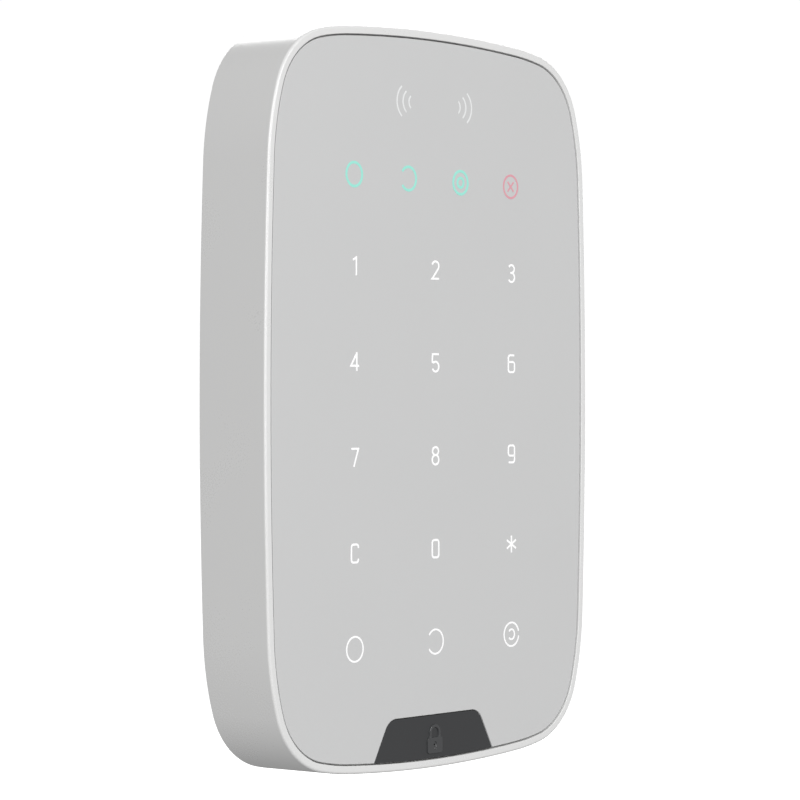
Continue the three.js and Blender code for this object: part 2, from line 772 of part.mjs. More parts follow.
function tamperSpring() {
  const wire = 0.2;
  const start = new THREE.Vector3(0, switchBody.rear + 0.1 + wire, tamper.z);
  const length = tamper.collarFront - 0.1 - wire - start.y;
  const path = new Helix(start, new THREE.Vector3(0, 1, 0), length, 2.4, 2.4, 3);
  return tube(path, wire, 27, 4);
}

// ---- bracket ----

function mountingBracket() {
  const { front, rear, windowX, windowTopZ, windowBottomZ } = bracket;
  const sheet = plate(bracketOutline(), front, rear);
  const hooks = hookPlaces.flatMap(({ x, y }) => {
    const [low, high] = [x - hook.width / 2, x + hook.width / 2];
    const lipRear = cover.front - hook.gap;
    const lipFront = lipRear - hook.lipThick;
    return [
      block([low, lipFront, y], [high, front + 0.2, y + hook.stemHeight]),
      block([low, lipFront, y], [high, lipRear, y + hook.stemHeight + hook.lipHeight]),
    ];
  });
  const lugLowZ = lugTopZ - lug.height;
  const lockLug = block([-lug.halfWidth, lug.front, lugLowZ], [lug.halfWidth, front + 0.2, lugTopZ]);
  const rampEndZ = tamper.z + (front + 0.1 - ramp.face) / ramp.slope;
  const rampSide = [
    [front + 0.1, tamper.z - 3.5],
    [front + 0.1, rampEndZ],
    [ramp.face, tamper.z],
    [ramp.face, tamper.z - 2.5],
  ];
  const rampPad = bar(rampSide, -ramp.halfWidth, ramp.halfWidth);
  const through = (shape) => plate(shape, front - 1, rear + 1);
  const { halfWidth, bottomZ: low, topZ: high, slit, bridge } = tamperTab;
  const tabSlits = [
    rectangle(-halfWidth - slit, low + bridge, -halfWidth, high - bridge),
    rectangle(halfWidth, low + bridge, halfWidth + slit, high - bridge),
    rectangle(-halfWidth + bridge, low - slit, halfWidth - bridge, low),
    rectangle(-halfWidth + bridge, high, halfWidth - bridge, high + slit),
  ].map(through);
  const sideWindows = [-1, 1].map((side) => {
    const [inX, outX] = [side * sideWindow.innerX, side * sideWindow.outerX];
    const [lowX, highX] = [Math.min(inX, outX), Math.max(inX, outX)];
    return through(rectangle(lowX, sideWindow.bottomZ, highX, sideWindow.topZ, 2));
  });
  const screwHoles = [...wallHole.places, [0, tamperTab.holeZ]].flatMap(([x, z]) => [
    pin(x, z, front - 1, rear + 1, wallHole.radius, wallHole.radius, 12),
    pin(x, z, front - 0.1, rear - 0.5, wallHole.radius, wallHole.headRadius, 12),
  ]);
  return cut(
    join(sheet, ...hooks, lockLug, rampPad),
    through(rectangle(-windowX, windowBottomZ, windowX, windowTopZ, 2)),
    ...sideWindows,
    ...tabSlits,
    ...screwHoles,
    post(lug.y, lugLowZ - 1, lugTopZ + 1, lug.holeRadius),
  );
}

// ---- assembly ----

add('front_housing', frontHousing(), whitePlastic);
add('touch_panel', touchPanel(), greyPanel);
add('front_badge', frontBadge(), darkPlastic);
add('panel_adhesive', panelAdhesive(), tape);
add('touch_board', touchBoardSheet(), boardGreen);
add('reader_antenna', readerAntenna(), gold);
statusPlaces.forEach((place, i) => (
  add(`status_led_${i + 1}`, lampBlock(place, touchBoard.rear + 0.1), ledLens)
));

add('chassis', chassisMoulding(), innerPlastic);
cellPlaces.forEach((x, i) => add(`battery_${i + 1}`, cellCan(x, i % 2 === 0), cellSleeve));
const [first, second, third, fourth] = cellPlaces;
add('contact_positive', contactPlate(first, first, true, null, first), steel);
add('contact_negative', contactPlate(fourth, fourth, true, fourth, fourth), steel);
add('contact_link_upper', contactPlate(second, third, true, second, null), steel);
add('contact_link_lower_left', contactPlate(first, second, false, first, null), steel);
add('contact_link_lower_right', contactPlate(third, fourth, false, third, null), steel);
add('battery_lead_positive', lead(-1), redWire);
add('battery_lead_negative', lead(1), blackWire);

add('main_board', mainBoardSheet(), boardGreen);
add('board_link', boardLinkBlock(), chipBlack);
add('radio_shield', shieldCan(), steel);
add('controller_chip', chip(controllerChip), chipBlack);
add('reader_chip', chip(readerChip), chipBlack);
add('buzzer', buzzerCan(), chipBlack);
add('antenna_left', stripAntenna(-1), steel);
add('antenna_right', stripAntenna(1), steel);
add('battery_socket', batterySocket(), innerPlastic);
add('battery_plug', batteryPlug(), innerPlastic);
add('power_switch', switchHousing(button), chipBlack);
add('tamper_switch', switchHousing({ x: 0, z: tamper.z }), chipBlack);

add('rear_cover', rearCover(), whitePlastic);
coverScrewPlaces.forEach((place, i) => (
  add(`cover_screw_${i + 1}`, machineScrew(place, cover.rear - 1.2, -14), steel)
));
chassisScrewPlaces.forEach((place, i) => (
  add(`chassis_screw_${i + 1}`, machineScrew(place, chassisBoss.cupRear + 0.1, -16), steel)
));
boardScrewPlaces.forEach((place, i) => (
  add(`board_screw_${i + 1}`, machineScrew(place, onBoard, -16.3), steel)
));
add('locking_screw', lockingScrew(), steel);

const { plungerRadius } = switchBody;
add('power_button', powerButton(), whitePlastic);
add('power_switch_plunger', pin(button.x, button.z, -9.3, button.tail - 0.1, plungerRadius), darkPlastic);
add('tamper_plunger', tamperPlunger(), darkPlastic);
add('tamper_switch_plunger', pin(0, tamper.z, -9.9, tamper.tail - 0.1, plungerRadius), darkPlastic);
add('tamper_spring', tamperSpring(), steel);

add('mounting_bracket', mountingBracket(), whitePlastic);

export default group;
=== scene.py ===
import json
import math
import bmesh
import bpy
from mathutils import Matrix, Vector

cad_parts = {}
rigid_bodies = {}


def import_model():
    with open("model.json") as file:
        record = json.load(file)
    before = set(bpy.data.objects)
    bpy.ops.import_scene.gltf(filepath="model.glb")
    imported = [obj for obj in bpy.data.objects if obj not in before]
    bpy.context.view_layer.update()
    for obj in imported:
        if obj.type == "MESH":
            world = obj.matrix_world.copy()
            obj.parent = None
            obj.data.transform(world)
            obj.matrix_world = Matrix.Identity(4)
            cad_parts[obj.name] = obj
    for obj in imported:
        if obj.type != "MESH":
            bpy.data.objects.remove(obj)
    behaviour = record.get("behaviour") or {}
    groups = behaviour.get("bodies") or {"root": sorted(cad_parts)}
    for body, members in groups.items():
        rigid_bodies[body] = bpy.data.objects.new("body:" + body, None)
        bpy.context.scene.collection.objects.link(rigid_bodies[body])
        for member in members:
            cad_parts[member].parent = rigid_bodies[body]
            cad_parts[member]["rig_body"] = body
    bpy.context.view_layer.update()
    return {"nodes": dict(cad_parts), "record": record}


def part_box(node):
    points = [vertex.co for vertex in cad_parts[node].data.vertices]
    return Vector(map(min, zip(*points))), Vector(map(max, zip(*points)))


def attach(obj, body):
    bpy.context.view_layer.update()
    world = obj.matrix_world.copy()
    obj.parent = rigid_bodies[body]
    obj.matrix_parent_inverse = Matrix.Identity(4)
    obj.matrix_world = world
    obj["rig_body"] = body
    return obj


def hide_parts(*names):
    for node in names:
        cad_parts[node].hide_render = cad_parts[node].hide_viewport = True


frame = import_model()
mm = 0.001  # the settings below are in millimetres, and the scene is in metres
fineRadius = 0.3  # roundings up to this one get fewer segments

print("stage: outline")

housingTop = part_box("front_housing")[1]
halfWidth = housingTop.x / mm
halfHeight = housingTop.z / mm

# A quarter of the outline is five arcs that meet where the edge faces these directions, in degrees from +X.
outlineShape = {
    "joins": (2.4, 17.7, 78.3, 85.55),
    "sideShoulder": 63.0,
    "corner": 18.6,
    "endShoulder": 70.6,
    "chordError": 0.004,
}


# The long side and end arcs close the quarter at the overall size. An arc is radius, start, end and centre.
def quarterArcs(shape):
    a, b, c, d = (math.radians(each) for each in shape["joins"])
    middle = [(shape["sideShoulder"], a, b), (shape["corner"], b, c), (shape["endShoulder"], c, d)]
    spanX = halfWidth - sum(r * (math.cos(s) - math.cos(e)) for r, s, e in middle)
    spanZ = halfHeight - sum(r * (math.sin(e) - math.sin(s)) for r, s, e in middle)
    share = (1 - math.cos(a)) * (1 - math.sin(d)) - math.cos(d) * math.sin(a)
    side = (spanX * (1 - math.sin(d)) - math.cos(d) * spanZ) / share
    end = ((1 - math.cos(a)) * spanZ - math.sin(a) * spanX) / share
    arcs = []
    x, z, before = halfWidth - side, 0.0, side
    for radius, start, stop in [(side, 0.0, a), *middle, (end, d, math.pi / 2)]:
        x += (before - radius) * math.cos(start)
        z += (before - radius) * math.sin(start)
        before = radius
        arcs.append((radius, start, stop, x, z))
    return arcs


arcs = quarterArcs(outlineShape)


# The point that lies the inset inside the outline where the edge faces a direction.
def edgePoint(degrees, inset):
    angle = math.radians(degrees)
    facing = math.atan2(abs(math.sin(angle)), abs(math.cos(angle)))
    radius, start, stop, x, z = next((each for each in arcs if facing <= each[2] + 1e-9), arcs[-1])
    across = x + (radius - inset) * math.cos(facing)
    up = z + (radius - inset) * math.sin(facing)
    return math.copysign(across, math.cos(angle)), math.copysign(up, math.sin(angle))


# Turns geometry round the five arcs, then mirrors the quarter twice.
def sweepRound(bm, geometry):
    for radius, start, stop, x, z in arcs:
        step = math.sqrt(8 * outlineShape["chordError"] / radius)
        spun = bmesh.ops.spin(
            bm,
            geom=geometry,
            cent=(x * mm, 0, z * mm),
            axis=(0, -1, 0),
            angle=stop - start,
            steps=max(2, math.ceil((stop - start) / step)),
            use_merge=False,
            use_duplicate=False,
        )
        geometry = spun["geom_last"]
    for axis in ("Z", "X"):
        everything = bm.verts[:] + bm.edges[:] + bm.faces[:]
        bmesh.ops.mirror(bm, geom=everything, matrix=Matrix(), merge_dist=1e-6, axis=axis)
    bmesh.ops.remove_doubles(bm, verts=bm.verts, dist=1e-7)


# A ring with the given section, whose corners are inset, y and radius. They are rounded before the sweep.
def rimBody(section):
    bm = bmesh.new()
    verts = [bm.verts.new(((halfWidth - inset) * mm, y * mm, 0)) for inset, y, _ in section]
    for i, vert in enumerate(verts):
        bm.edges.new((vert, verts[i - 1]))
    for vert, (_, _, radius) in zip(verts, section):
        if radius:
            roundOff(bm, [vert], radius, "VERTICES", 6 if radius > fineRadius else 3)
    sweepRound(bm, bm.verts[:] + bm.edges[:])
    bmesh.ops.recalc_face_normals(bm, faces=bm.faces)
    return bm


def roundOff(bm, geometry, width, affect, segments):
    bmesh.ops.bevel(
        bm,
        geom=geometry,
        offset=width * mm,
        offset_type="OFFSET",
        affect=affect,
        segments=segments,
        profile=0.5,
        clamp_overlap=True,
        material=-1,
    )


# A flat plate with the outline's shape.
def outlinePlate(inset, front, rear):
    bm = bmesh.new()
    sweepRound(bm, [bm.verts.new(((halfWidth - inset) * mm, front * mm, 0))])
    thicken(bm, rear - front)
    return bm


# Fills the loops of edges and pulls the face back into a closed plate.
def thicken(bm, depth):
    face = bmesh.ops.contextual_create(bm, geom=bm.edges[:])["faces"]
    grown = bmesh.ops.extrude_face_region(bm, geom=face, use_keep_orig=True)["geom"]
    moved = [v for v in grown if isinstance(v, bmesh.types.BMVert)]
    bmesh.ops.translate(bm, vec=(0, depth * mm, 0), verts=moved)
    bmesh.ops.recalc_face_normals(bm, faces=bm.faces)


def block(bm, low, high):
    size = [(b - a) * mm for a, b in zip(low, high)]
    centre = [(a + b) / 2 * mm for a, b in zip(low, high)]
    place = Matrix.Translation(centre) @ Matrix.Diagonal((*size, 1))
    return bmesh.ops.create_cube(bm, size=1, matrix=place)["verts"]


# Turns what points up so that it points back, and places it on x and z.
def alongY(x, z):
    return Matrix.Translation((x * mm, 0, z * mm)) @ Matrix.Rotation(math.radians(-90), 4, "X")


# A round rod or cone along y.
def rod(bm, x, z, front, rear, radius, rearRadius=None, segments=48):
    middle = Matrix.Translation((0, (front + rear) / 2 * mm, 0))
    bmesh.ops.create_cone(
        bm,
        cap_ends=True,
        cap_tris=False,
        segments=segments,
        radius1=radius * mm,
        radius2=(radius if rearRadius is None else rearRadius) * mm,
        depth=(rear - front) * mm,
        matrix=middle @ alongY(x, z),
    )


# A rounded rectangle drawn on x and z, as deep as the two y values say.
def roundedBlock(bm, low, high, radius, segments=6):
    verts = block(bm, low, high)
    upright = {e for v in verts for e in v.link_edges if abs(e.verts[0].co.y - e.verts[1].co.y) > 1e-7}
    roundOff(bm, list(upright), radius, "EDGES", segments)


# A turned body from a profile of radius and distance along the axis, which starts and ends on the axis.
def turnedBody(profile, place, segments=48):
    bm = bmesh.new()
    verts = [bm.verts.new((radius * mm, 0, along * mm)) for radius, along in profile]
    edges = [bm.edges.new(pair) for pair in zip(verts, verts[1:])]
    bmesh.ops.spin(
        bm,
        geom=verts + edges,
        cent=(0, 0, 0),
        axis=(0, 0, 1),
        angle=2 * math.pi,
        steps=segments,
        use_merge=True,
        use_duplicate=False,
    )
    bmesh.ops.remove_doubles(bm, verts=bm.verts, dist=1e-7)
    bmesh.ops.recalc_face_normals(bm, faces=bm.faces)
    bmesh.ops.transform(bm, matrix=place, verts=bm.verts)
    return bm


def makeObject(name, bm):
    mesh = bpy.data.meshes.new(name)
    bm.to_mesh(mesh)
    bm.free()
    piece = bpy.data.objects.new(name, mesh)
    bpy.context.scene.collection.objects.link(piece)
    return piece


# Replaces an object's mesh with what its modifiers make of it.
def applyModifiers(piece):
    depsgraph = bpy.context.evaluated_depsgraph_get()
    made = bpy.data.meshes.new_from_object(piece.evaluated_get(depsgraph))
    piece.modifiers.clear()
    old = piece.data
    piece.data = made
    bpy.data.meshes.remove(old)
    made.name = piece.name


# Cuts with, or joins, the closed bodies in another bmesh.
def combine(piece, bm, operation="DIFFERENCE"):
    bmesh.ops.recalc_face_normals(bm, faces=bm.faces)
    tool = makeObject("tool", bm)
    modifier = piece.modifiers.new("combine", "BOOLEAN")
    modifier.object = tool
    modifier.operation = operation
    modifier.solver = "EXACT"
    modifier.use_self = True
    applyModifiers(piece)
    bpy.data.objects.remove(tool)


# Rounds every edge sharper than the angle, by less than the width where the edges beside it are short.
def soften(piece, width, segments=2, angle=35, clamp=True):
    modifier = piece.modifiers.new("soften", "BEVEL")
    modifier.width = width * mm
    modifier.segments = segments
    modifier.limit_method = "ANGLE"
    modifier.angle_limit = math.radians(angle)
    modifier.use_clamp_overlap = clamp
    modifier.miter_outer = "MITER_ARC"
    applyModifiers(piece)


# Smooth shading that keeps flat faces flat right up to their rounding.
def shade(piece, angle=40):
    piece.data.shade_smooth()
    piece.data.set_sharp_from_angle(angle=math.radians(angle))
    modifier = piece.modifiers.new("normals", "WEIGHTED_NORMAL")
    modifier.keep_sharp = True
    modifier.weight = 80
    applyModifiers(piece)


# Shades a finished piece, gives it its material and body, and hides the nodes it stands for.
def settle(piece, material, body, slotName, *nodes):
    shade(piece)
    piece.data.materials.clear()
    piece.data.materials.append(material)
    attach(piece, body)
    if nodes:
        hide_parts(*nodes)


print("stage: materials")


# One socket of a material's nodes: arithmetic on it adds the Math nodes.
class Wire:
    def __init__(self, tree, socket=None):
        self.tree = tree
        self.socket = socket

    # The settings come first because they change which sockets a node has.
    def node(self, kind, settings, inputs, output=0):
        made = self.tree.nodes.new("ShaderNode" + kind)
        for name, value in settings.items():
            setattr(made, name, value)
        for name, value in inputs.items():
            if isinstance(value, Wire):
                self.tree.links.new(made.inputs[name], value.socket)
            else:
                made.inputs[name].default_value = value
        return Wire(self.tree, made.outputs[output])

    def math(self, operation, *values):
        return self.node("Math", {"operation": operation}, dict(enumerate(values)))

    def __add__(self, other):
        return self.math("ADD", self, other)

    __radd__ = __add__

    def __sub__(self, other):
        return self.math("SUBTRACT", self, other)

    def __rsub__(self, other):
        return self.math("SUBTRACT", other, self)

    def __mul__(self, other):
        return self.math("MULTIPLY", self, other)

    __rmul__ = __mul__

    def __lt__(self, other):
        return self.math("LESS_THAN", self, other)

    def __gt__(self, other):
        return self.math("GREATER_THAN", self, other)

    # The scale is in lumps per millimetre.
    def noise(self, scale, detail=3.0, roughness=0.5):
        inputs = {"Vector": self, "Scale": scale / mm, "Detail": detail, "Roughness": roughness}
        return self.node("TexNoise", {"noise_dimensions": "3D"}, inputs)

    def mix(self, low, high):
        return self.node("Mix", {"data_type": "RGBA"}, {0: self, 6: low, 7: high}, output=2)

    def bump(self, height, strength=1.0):
        inputs = {"Height": self, "Distance": height * mm, "Strength": strength}
        return self.node("Bump", {}, inputs)

    def stretch(self, scale):
        return self.node("Mapping", {"vector_type": "POINT"}, {"Vector": self, "Scale": scale})


def tint(colour, factor):
    return (*(min(1.0, each * factor) for each in colour[:3]), 1.0)


# A material that starts with its fixed settings. paint gets the Object coordinates and gives what changes.
def finish(name, paint, **fixed):
    material = bpy.data.materials.new(name)
    material.use_nodes = True
    tree = material.node_tree
    shader = tree.nodes["Principled BSDF"]
    for socket, value in fixed.items():
        shader.inputs[socket.replace("_", " ")].default_value = value
    where = Wire(tree).node("TexCoord", {}, {}, output="Object")
    for socket, wire in paint(where).items():
        tree.links.new(shader.inputs[socket], wire.socket)
    return material


# Moulded plastic: slight clouds of colour, a fine spark-eroded grain and uneven gloss.
def moulded(name, colour, gloss, grain=0.006, clouds=0.02, grainSize=0.35, **fixed):
    def paint(where):
        cloud = where.noise(0.04, 2.0)
        speck = where.noise(1 / grainSize, 4.0, 0.6)
        shade = cloud * 0.7 + speck * 0.3
        return {
            "Base Color": shade.mix(tint(colour, 1 - clouds), tint(colour, 1 + clouds)),
            "Roughness": gloss - 0.05 + cloud * 0.06 + speck * 0.04,
            "Normal": speck.bump(grain),
        }

    return finish(name, paint, **fixed)


# Rolled or turned metal: long scratches along an axis over a dull bloom.
def rolledMetal(name, colour, gloss, along, **fixed):
    def paint(where):
        scratch = where.stretch(along).noise(6.0, 5.0, 0.7)
        bloom = where.noise(0.3, 3.0)
        return {
            "Base Color": (scratch * 0.5 + bloom * 0.5).mix(tint(colour, 0.86), tint(colour, 1.1)),
            "Roughness": gloss + scratch * 0.14 + bloom * 0.08,
            "Normal": scratch.bump(0.01, 0.6),
        }

    return finish(name, paint, Metallic=1.0, **fixed)


# Green lacquer over a glass weave.
def circuitBoard(name, colour):
    def paint(where):
        weave = where.node("TexWave", {"wave_type": "BANDS"}, {"Vector": where, "Scale": 700.0})
        ground = where.noise(0.15, 2.0)
        return {
            "Base Color": (ground * 0.7 + weave * 0.3).mix(tint(colour, 0.8), tint(colour, 1.2)),
            "Roughness": 0.32 + ground * 0.12,
            "Normal": weave.bump(0.01, 0.5),
        }

    return finish(name, paint, Specular_IOR_Level=0.5)


# A wrapped cell: a bright band round the sleeve at the button end, and bare metal where the sleeve ends.
def cellSleeve(name, settings, buttonUp):
    low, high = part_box("battery_1" if buttonUp else "battery_2")
    middle = (low + high) / 2
    up = 1 if buttonUp else -1

    def paint(where):
        height = (where.node("SeparateXYZ", {}, {"Vector": where}, output="Z") - middle.z) * up
        reach = (high.z - low.z) / 2
        band = height > reach - settings["band"] * mm
        bare = (height > reach - settings["bareTop"] * mm) + (height < settings["bareFoot"] * mm - reach)
        wrinkle = where.noise(0.5, 3.0)
        sleeve = band.mix(settings["sleeve"], settings["bandColour"])
        return {
            "Base Color": bare.mix(sleeve, settings["steel"]),
            "Metallic": bare,
            "Roughness": 0.24 + wrinkle * 0.12,
            "Normal": wrinkle.bump(0.02, 0.5),
        }

    return finish(name, paint, Coat_Weight=0.2)


# Printed ink: even colour with the slight mottle of screen printing.
def printedInk(name, colour, glow=0.0):
    def paint(where):
        mottle = where.noise(2.5, 3.0)
        return {
            "Base Color": mottle.mix(tint(colour, 0.97), tint(colour, 1.03)),
            "Roughness": 0.42 + mottle * 0.1,
        }

    return finish(name, paint, Emission_Color=colour, Emission_Strength=glow)


colours = {
    "housing": (0.818, 0.818, 0.813, 1),
    "panel": (0.632, 0.634, 0.634, 1),
    "badge": (0.041, 0.042, 0.044, 1),
    "inner": (0.62, 0.62, 0.60, 1),
    "tape": (0.03, 0.03, 0.032, 1),
    "board": (0.02, 0.11, 0.05, 1),
    "chip": (0.018, 0.018, 0.02, 1),
    "steel": (0.56, 0.57, 0.58, 1),
    "copper": (0.80, 0.42, 0.24, 1),
    "wireRed": (0.45, 0.02, 0.015, 1),
    "wireBlack": (0.015, 0.015, 0.016, 1),
    "lens": (0.75, 0.78, 0.74, 1),
    "legendWhite": (0.98, 0.98, 0.98, 1),
    "legendGrey": (0.86, 0.87, 0.87, 1),
    "legendTeal": (0.36, 0.86, 0.74, 1),
    "legendRed": (0.78, 0.36, 0.42, 1),
}
cellPaint = {
    "sleeve": (0.02, 0.035, 0.06, 1),
    "bandColour": (0.62, 0.40, 0.10, 1),
    "steel": (0.62, 0.62, 0.60, 1),
    "band": 14.0,
    "bareTop": 1.4,
    "bareFoot": 0.12,
}
finishes = {
    "housing_plastic": moulded(
        "housingPlastic", colours["housing"], 0.28, grain=0.0018, clouds=0.008, Specular_IOR_Level=1.0
    ),
    "touch_panel": moulded("panelPlastic", colours["panel"], 0.42, grain=0.003, clouds=0.012),
    "badge_plastic": moulded("badgePlastic", colours["badge"], 0.38, grain=0.004, clouds=0.06),
    # The padlock is the badge's own plastic, polished, with its colour painted 1.35 times lighter as a
    # painted highlight on the relief.
    "badge_polish": moulded(
        "badgePolish", tint(colours["badge"], 1.35), 0.15, grain=0.001, clouds=0.04, Specular_IOR_Level=0.9
    ),
    "inner_plastic": moulded("innerPlastic", colours["inner"], 0.46, grain=0.01, clouds=0.03),
    "adhesive_tape": moulded("foamTape", colours["tape"], 0.85, grain=0.05, clouds=0.2, grainSize=0.25),
    "circuit_board": circuitBoard("boardLacquer", colours["board"]),
    "chip_resin": moulded("chipResin", colours["chip"], 0.6, grain=0.01, clouds=0.15, grainSize=0.15),
    "sheet_steel": rolledMetal("sheetSteel", colours["steel"], 0.22, (1, 1, 0.06)),
    "copper_track": rolledMetal("copperTrack", colours["copper"], 0.2, (0.1, 1, 1)),
    "cell_sleeve": cellSleeve("cellSleeve", cellPaint, True),
    "cell_sleeve_down": cellSleeve("cellSleeveDown", cellPaint, False),
    "wire_red": moulded("redInsulation", colours["wireRed"], 0.4, grain=0.01, clouds=0.08),
    "wire_black": moulded("blackInsulation", colours["wireBlack"], 0.4, grain=0.01, clouds=0.2),
    "led_lens": moulded("ledLens", colours["lens"], 0.2, grain=0.002, clouds=0.05),
    "legend_white": printedInk("whiteInk", colours["legendWhite"], 0.14),
    "legend_grey": printedInk("greyInk", colours["legendGrey"]),
    "legend_teal": printedInk("tealInk", colours["legendTeal"]),
    "legend_red": printedInk("redInk", colours["legendRed"]),
}

print("stage: front of the keypad")

housing = {
    "front": -20.0,
    "rear": -1.0,
    "wall": 2.0,
    "draft": 0.2,
    "lip": 2.0,
    "ledge": 6.0,
    "ledgeFront": -17.8,
    "ledgeRear": -16.6,
    "frontRadius": 0.6,
    "rearRadius": 0.35,
    "lipRadius": 0.15,
    "innerRadius": 0.1,
    "coverBosses": {"facing": (0, 45, 135, 180, 225, 315), "inset": 4.6, "radius": 3.0, "rear": -6.0},
    "chassisBosses": {"facing": (1.9, 178.1, 181.9, 358.1), "inset": 6.8, "radius": 2.8, "rear": -12.6},
    "boreRadius": 0.8,
    "boreDepth": 8.0,
    "boreFloor": 1.0,
    "bossRoot": 0.3,
    "shelf": 1.0,
    "lockPad": {"low": (-6.0, -7.9, -81.0), "high": (6.0, -1.3, -79.2)},
    "lockHole": {"y": -4.6, "radius": 1.75, "sinkRadius": 2.75, "sink": 1.6, "depth": 6.0},
    "pegRoom": 0.1,
}
badge = {
    "topZ": -70.6,
    "halfTop": 15.7,
    "slope": 0.55,
    "cornerRadius": 4.0,
    "bottomZ": -84.0,
    "inset": 2.3,
    "front": -19.7,
    "rear": -18.0,
    "gap": 0.15,
    "edge": 0.14,
    "pegX": 9.0,
    "pegZ": -75.0,
    "pegRadius": 1.0,
    "pegTaper": 0.9,
    "pegRoot": 0.3,
    "pegRear": -16.9,
}
panel = {"inset": 2.35, "front": -19.8, "rear": -18.2, "edge": 0.14}


# The badge's outline grown by a margin: a flat top, round shoulders and sides that lean outwards.
def badgeBody(margin, front, rear):
    lean = math.atan(badge["slope"])
    radius = badge["cornerRadius"]
    centreX = badge["halfTop"] - radius * (1 - math.sin(lean)) / math.cos(lean)
    centreZ = badge["topZ"] - radius
    bm = bmesh.new()
    top = bm.verts.new((centreX * mm, front * mm, (centreZ + radius + margin) * mm))
    spun = bmesh.ops.spin(
        bm,
        geom=[top],
        cent=(centreX * mm, 0, centreZ * mm),
        axis=(0, 1, 0),
        angle=math.pi / 2 - lean,
        steps=24,
        use_merge=False,
        use_duplicate=False,
    )
    shoulder = next(v for v in spun["geom_last"] if isinstance(v, bmesh.types.BMVert))
    drop = shoulder.co.z - badge["bottomZ"] * mm
    foot = bm.verts.new(shoulder.co + Vector((drop * badge["slope"], 0, -drop)))
    bm.edges.new((shoulder, foot))
    bmesh.ops.mirror(bm, geom=bm.verts[:] + bm.edges[:], matrix=Matrix(), merge_dist=1e-6, axis="X")
    ends = sorted((v for v in bm.verts if len(v.link_edges) == 1), key=lambda v: v.co.z)
    bm.edges.new(ends[:2])
    bm.edges.new(ends[2:])
    thicken(bm, rear - front)
    return bm


# The same shape kept inside the keypad's outline at an inset.
def badgePiece(name, margin, inset, front, rear):
    piece = makeObject(name, badgeBody(margin, front, rear))
    combine(piece, outlinePlate(inset, front - 1, rear + 1), "INTERSECT")
    return piece


# The mesh of a piece that isn't needed as an object any more.
def takeMesh(piece):
    bm = bmesh.new()
    bm.from_mesh(piece.data)
    bpy.data.objects.remove(piece)
    return bm


def makeHousing(size):
    section = [
        (0, size["rear"], size["rearRadius"]),
        (size["draft"], size["front"], size["frontRadius"]),
        (size["lip"], size["front"], size["lipRadius"]),
        (size["lip"], size["ledgeFront"], 0),
        (size["ledge"], size["ledgeFront"], size["innerRadius"]),
        (size["ledge"], size["ledgeRear"], 0),
        (size["wall"], size["ledgeRear"], 0),
        (size["wall"], size["rear"], size["innerRadius"]),
    ]
    piece = makeObject("housingShell", rimBody(section))
    root = size["ledgeRear"] - size["bossRoot"]
    solid = takeMesh(badgePiece("shelf", size["shelf"], 1.0, size["ledgeFront"], size["ledgeRear"]))
    combine(piece, solid, "UNION")
    solid = bmesh.new()
    for boss in (size["coverBosses"], size["chassisBosses"]):
        for facing in boss["facing"]:
            rod(solid, *edgePoint(facing, boss["inset"]), root, boss["rear"], boss["radius"])
    block(solid, size["lockPad"]["low"], size["lockPad"]["high"])
    combine(piece, solid, "UNION")
    hollow = bmesh.new()
    for boss in (size["coverBosses"], size["chassisBosses"]):
        rear = boss["rear"]
        depth = min(size["boreDepth"], rear - root - size["boreFloor"])
        for facing in boss["facing"]:
            rod(hollow, *edgePoint(facing, boss["inset"]), rear - depth, rear + 1, size["boreRadius"])
    pegHole = badge["pegRadius"] + size["pegRoom"]
    for x in (-badge["pegX"], badge["pegX"]):
        rod(hollow, x, badge["pegZ"], size["ledgeFront"] - 1, badge["pegRear"], pegHole)
    combine(piece, hollow)
    hole = size["lockHole"]
    bottom = -halfHeight
    profile = [
        (0, bottom - 1),
        (hole["sinkRadius"], bottom - 1),
        (hole["sinkRadius"], bottom + hole["sink"]),
        (hole["radius"], bottom + hole["sink"]),
        (hole["radius"], bottom + hole["depth"]),
        (0, bottom + hole["depth"]),
    ]
    combine(piece, turnedBody(profile, Matrix.Translation((0, hole["y"] * mm, 0))))
    return piece


settle(makeHousing(housing), finishes["housing_plastic"], "keypad", "housing_plastic", "front_housing")


def makePanel(size):
    piece = makeObject("touchSheet", outlinePlate(size["inset"], size["front"], size["rear"]))
    combine(piece, badgeBody(badge["gap"], size["front"] - 1, size["rear"] + 1))
    soften(piece, size["edge"])
    return piece


settle(makePanel(panel), finishes["touch_panel"], "keypad", "touch_panel", "touch_panel")

padlock = {
    "bodyTop": -75.55,
    "proud": 0.29,
    "root": 0.3,
    "bodyWidth": 5.2,
    "bodyHeight": 3.6,
    "bodyCorner": 0.6,
    "shackleRadius": 1.55,
    "shackleLeg": 1.0,
    "shackleStroke": 0.7,
    "keyholeRadius": 0.5,
    "keyholeDown": 0.42,  # a share of the body's height
    "keyholeDrop": 1.2,
    "keyholeFloor": 0.02,
    "merge": 0.04,
    "edge": 0.15,
}


def makeBadge(size):
    piece = badgePiece("badgePlate", 0, size["inset"], size["front"], size["rear"])
    soften(piece, size["edge"])
    pegs = bmesh.new()
    root, radius = size["rear"] - size["pegRoot"], size["pegRadius"]
    for x in (-size["pegX"], size["pegX"]):
        rod(pegs, x, size["pegZ"], root, size["pegRear"], radius, radius * size["pegTaper"])
    combine(piece, pegs, "UNION")
    return piece


# Crossing strokes get different heights, so that they never share a surface.
liftSteps = 5
liftStep = 0.002


